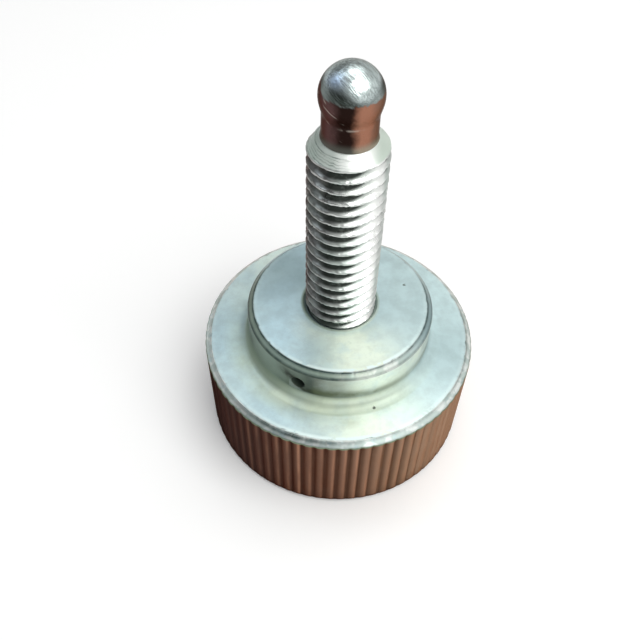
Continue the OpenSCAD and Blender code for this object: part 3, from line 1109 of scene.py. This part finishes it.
def studFinish(look):
    material, tree, shader, place = newFinish("zincStud")
    across = addNode(tree, "ShaderNodeSeparateXYZ", {"Vector": place}).outputs[0]
    noises = {name: noise(tree, place, *sizes) for name, sizes in look["noises"].items()}
    patch, grain = noises["patch"], noises["grain"]
    along, ball, cone, blueReflection = (trait(tree, name) for name in ("along", "ball", "cone", "blueReflection"))
    scratchPlace = stretched(tree, place, look["scratchTurn"], look["scratchSize"])
    scratch = noise(tree, scratchPlace, *look["scratchNoise"])
    shifted = plus(tree, across, times(tree, less(tree, patch, 0.5), look["wander"]))

    # the thread, with painted shade on its left flanks and in its roots, a painted brown reflection on its
    # far left edge and a painted highlight on its right
    base = mixed(tree, ranged(tree, noises["cloud"], *look["greenSpan"]), look["pale"], look["green"])
    leftShare = times(tree, trait(tree, "left"), ranged(tree, patch, *look["leftSpan"]))
    base = mixed(tree, leftShare, base, look["left"])
    base = mixed(tree, times(tree, trait(tree, "leftEdge"), look["leftEdgeShare"]), base, look["leftEdge"])
    bright = times(tree, ranged(tree, across, *look["brightFrom"]), ranged(tree, across, *look["brightTo"]))
    base = mixed(tree, bright, base, look["bright"])
    rootShare = times(tree, trait(tree, "root"), ranged(tree, grain, *look["rootSpan"]))
    base = mixed(tree, rootShare, base, look["root"])

    # the cone, with dark turning lines on its left, painted light palest from its middle to a little to the
    # right, and painted shade to both sides, most on the left
    uneven = plus(tree, along, times(tree, grain, look["coneWaver"]))
    coneLine = ranged(tree, lineNoise(tree, uneven, *look["coneLines"]), *look["coneLineSpan"])
    coneLine = times(tree, coneLine, ranged(tree, patch, *look["coneLinePatch"]))
    coneLine = times(tree, coneLine, ranged(tree, across, *look["coneLineAcross"]))
    coneTone = look["chipsAndHighlight"]
    for tone, span in look["coneTones"]:
        coneTone = mixed(tree, ranged(tree, across, *span), coneTone, look[tone])
    base = mixed(tree, cone, base, coneTone)
    base = mixed(tree, times(tree, cone, coneLine), base, look["groove"])

    # the ball, with a painted bluish reflection and a painted dark lower half, and the painted brown
    # reflection on the neck and the ball's underside, darker on the left and paler on the right
    base = mixed(tree, times(tree, ball, look["ballShare"]), base, look["ball"])
    base = mixed(tree, blueReflection, base, look["blueReflection"])
    scraped = times(tree, ball, ranged(tree, scratch, *look["scrapedSpan"]))
    base = mixed(tree, scraped, base, look["mottle"])
    shoulder = times(tree, ball, trait(tree, "shoulder"))
    mottle = times(tree, shoulder, ranged(tree, scratch, *look["mottleSpan"]))
    base = mixed(tree, mottle, base, look["mottle"])
    ragged = times(tree, less(tree, scratch, 0.5), look["castRagged"])
    brownReflection = ranged(tree, plus(tree, trait(tree, "brownReflection"), ragged), *look["castSpan"])
    brown = look["castDark"]
    for tone, span in look["castTones"]:
        brown = mixed(tree, ranged(tree, shifted, *span), brown, look[tone])
    # the neck's foot is painted darker on the left and paler on the right, as shade and light
    footSide = ranged(tree, shifted, *look["neckFootSpan"])
    footTone = mixed(tree, footSide, look["neckFoot"], look["neckFootRight"])
    brown = mixed(tree, times(tree, trait(tree, "neckFoot"), look["neckFootShare"]), brown, footTone)
    base = mixed(tree, brownReflection, base, brown)

    # pale nicks and a scuff on the neck's painted brown reflection, and painted shade where the stud sits in
    # the collar's mouth
    nickPlace = stretched(tree, place, look["scratchTurn"], look["nickSize"])
    nick = ranged(tree, noise(tree, nickPlace, *look["nickNoise"]), *look["nickSpan"])
    nick = times(tree, nick, trait(tree, "nicked"))
    scuff = times(tree, trait(tree, "scuff"), ranged(tree, grain, *look["scuffSpan"]))
    scratched = calc(tree, "MAXIMUM", nick, scuff)
    scratched = times(tree, scratched, times(tree, brownReflection, look["scratchShare"]))
    base = mixed(tree, scratched, base, look["scratch"])
    base = mixed(tree, times(tree, trait(tree, "recessShade"), look["recessShadeShare"]), base, look["recessShade"])
    feed(tree, shader.inputs["Base Color"], base)
    shader.inputs["Specular Tint"].default_value = look["edgeTint"]

    coneDull = times(tree, cone, ranged(tree, across, *look["coneDull"]))
    dull = plus(tree, coneDull, times(tree, blueReflection, look["blueDull"]))
    feed(tree, shader.inputs["Metallic"], less(tree, 1.0, dull))
    rough = ranged(tree, noises["cloud"], *look["roughSpan"])
    feed(tree, shader.inputs["Roughness"], less(tree, rough, times(tree, ball, look["ballSmooth"])))
    turning = lineNoise(tree, along, *look["turning"])
    turnMarks = times(tree, turning, less(tree, 1.0, ball))
    ballMarks = times(tree, scratch, times(tree, ball, look["ballMarks"]))
    threadMarks = times(tree, grain, times(tree, trait(tree, "thread"), look["threadMarks"]))
    marks = plus(tree, plus(tree, turnMarks, ballMarks), threadMarks)
    addBump(tree, shader, look, plus(tree, marks, times(tree, noises["fine"], look["fineMarks"])))
    return material


# dull steel of the pin

pinLook = {
    "steel": rgb(120, 122, 120),
    "dark": rgb(60, 60, 56),
    "speck": (2500, 4, 0.6),
    "darkSpan": (0.4, 0.65),
    "roughSpan": (0.3, 0.7, 0.35, 0.6),
}


def pinFinish(look):
    material, tree, shader, place = newFinish("dullPin")
    speck = noise(tree, place, *look["speck"])
    base = mixed(tree, ranged(tree, speck, *look["darkSpan"]), look["steel"], look["dark"])
    feed(tree, shader.inputs["Base Color"], base)
    shader.inputs["Metallic"].default_value = 1.0
    feed(tree, shader.inputs["Roughness"], ranged(tree, speck, *look["roughSpan"]))
    return material


knurledHead = buildHead(headCut, pinHole, headWearAndShade)
thrustStud = buildStud(studCut, studWearAndShade)
knurledHead.data.materials.append(headFinish(headLook))
thrustStud.data.materials.append(studFinish(studLook))
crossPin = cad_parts["cross_pin"]
for pinSlot in crossPin.material_slots:
    pinSlot.material = pinFinish(pinLook)
newPieces = (
    (knurledHead, "knurled_head", "head_zinc"),
    (thrustStud, "thrust_stud", "stud_zinc"),
)
for piece, node, slot in newPieces:
    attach(piece, "root")
    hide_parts(node)
print("stage: pieces made and finished")


# floor, in metres

floorLook = {
    "radius": 3.0,
    "columns": 96,
    "colour": (0.95, 0.95, 0.95, 1.0),
    "roughness": 0.8,
    "gloss": 0.1,
    "liftColour": (1.0, 1.0, 1.0, 1.0),
    "liftSpan": (0.09, 0.6, 0.09, 0.5),  # lifted more beyond the reach of the lamps
}


def buildFloor(look):  # a disc, as a grid of radius and angle
    columns = look["columns"]
    angle = np.linspace(0, 2 * np.pi, columns, endpoint=False)
    path = np.array([[0, 0], [look["radius"], 0]])[:, None, :] + np.zeros((1, columns, 1))
    points = turned(path, angle).reshape(-1, 3)
    floor = weldedMesh("paleFloor", points, ringQuads(2, columns)[..., ::-1].reshape(-1, 4), {})
    material, tree, shader, place = newFinish("paleFloor")
    shader.inputs["Base Color"].default_value = look["colour"]
    shader.inputs["Roughness"].default_value = look["roughness"]
    shader.inputs["Specular IOR Level"].default_value = look["gloss"]
    shader.inputs["Emission Color"].default_value = look["liftColour"]
    ray = tree.nodes.new("ShaderNodeLightPath").outputs  # the floor is lifted to white where it is seen
    mirrored = plus(tree, ray["Is Glossy Ray"], ray["Is Transmission Ray"])
    seen = calc(tree, "ADD", ray["Is Camera Ray"], mirrored, True)
    away = addNode(tree, "ShaderNodeVectorMath", {0: place}, operation="LENGTH").outputs["Value"]
    feed(tree, shader.inputs["Emission Strength"], times(tree, seen, ranged(tree, away, *look["liftSpan"])))
    floor.data.materials.append(material)
    return floor


paleFloor = buildFloor(floorLook)


# light: a soft world that is brighter to the right and overhead, with a pale band all round, a soft box above
# on the right, one beyond the screw and a bluish one on the left

worldLook = {
    "left": (0.14, 0.14, 0.14, 1.0),
    "right": (0.76, 0.76, 0.75, 1.0),
    "far": (0.14, 0.14, 0.14, 1.0),
    "over": (0.56, 0.56, 0.56, 1.0),
    "horizon": (1.0, 1.0, 1.0, 1.0),
    "strength": 1.0,
    "rightSpan": (-0.7, 0.6),
    "farSpan": (0.1, 0.7, 0.0, 0.4),
    "overSpan": (0.72, 0.95),
    "horizonSpan": (0.24, 0.12),
}
boxAim = (0, 0, 0.01)
softBoxes = [
    {"name": "keyBox", "place": (0.124, -0.105, 0.287), "size": 0.24,
     "watts": 0.54, "colour": (1.0, 1.0, 0.98)},
    {"name": "farBox", "place": (0.03, 0.095, 0.285), "size": 0.17,
     "watts": 0.15, "colour": (1.0, 1.0, 1.0)},
    {"name": "leftBox", "place": (-0.168, 0.06, 0.276), "size": 0.105,
     "watts": 0.062, "colour": (0.84, 0.92, 1.0)},
]


def lightWorld(look):
    world = bpy.data.worlds.new("softWorld")
    bpy.context.scene.world = world
    world.use_nodes = True
    tree = world.node_tree
    tree.nodes.clear()
    way = tree.nodes.new("ShaderNodeTexCoord").outputs["Generated"]
    right, far, up = addNode(tree, "ShaderNodeSeparateXYZ", {"Vector": way}).outputs
    colour = mixed(tree, ranged(tree, right, *look["rightSpan"]), look["left"], look["right"])
    colour = mixed(tree, ranged(tree, far, *look["farSpan"]), colour, look["far"])
    colour = mixed(tree, ranged(tree, up, *look["overSpan"]), colour, look["over"])
    colour = mixed(tree, ranged(tree, up, *look["horizonSpan"]), colour, look["horizon"])
    glow = addNode(tree, "ShaderNodeBackground", {"Color": colour, "Strength": look["strength"]})
    out = tree.nodes.new("ShaderNodeOutputWorld")
    tree.links.new(glow.outputs[0], out.inputs[0])


def addBox(box, aim):
    data = bpy.data.lights.new(box["name"], "AREA")
    data.energy, data.size, data.color = box["watts"], box["size"], box["colour"]
    lamp = bpy.data.objects.new(box["name"], data)
    lamp.location = box["place"]
    lamp.rotation_euler = (Vector(aim) - lamp.location).to_track_quat("-Z", "Y").to_euler()
    bpy.context.scene.collection.objects.link(lamp)


lightWorld(worldLook)
for box in softBoxes:
    addBox(box, boxAim)


# camera: above the front of the screw, tilted down, a little turned and rolled

shot = {
    "place": (0, -0.04216, 0.06384),
    "down": 51.28,
    "turn": -2.32,
    "roll": 1.40,
    "lens": 42.57,
    "sensor": 36,
    "clipStart": 0.001,
}


def placeCamera(shot):
    data = bpy.data.cameras.new("photoCamera")
    data.lens, data.sensor_width, data.clip_start = shot["lens"], shot["sensor"], shot["clipStart"]
    down, turn, roll = (math.radians(shot[k]) for k in ("down", "turn", "roll"))
    ahead = Vector((math.sin(turn) * math.cos(down), math.cos(turn) * math.cos(down), -math.sin(down)))
    right = ahead.cross(Vector((0, 0, 1))).normalized()
    up = right.cross(ahead)
    right, up = math.cos(roll) * right + math.sin(roll) * up, math.cos(roll) * up - math.sin(roll) * right
    axes = Matrix((right, up, -ahead)).transposed().to_4x4()
    camera = bpy.data.objects.new("photoCamera", data)
    camera.matrix_world = Matrix.Translation(shot["place"]) @ axes
    bpy.context.scene.collection.objects.link(camera)
    bpy.context.scene.camera = camera


placeCamera(shot)
bpy.context.scene.view_settings.view_transform = "Standard"
print("stage: floor, light and camera set")
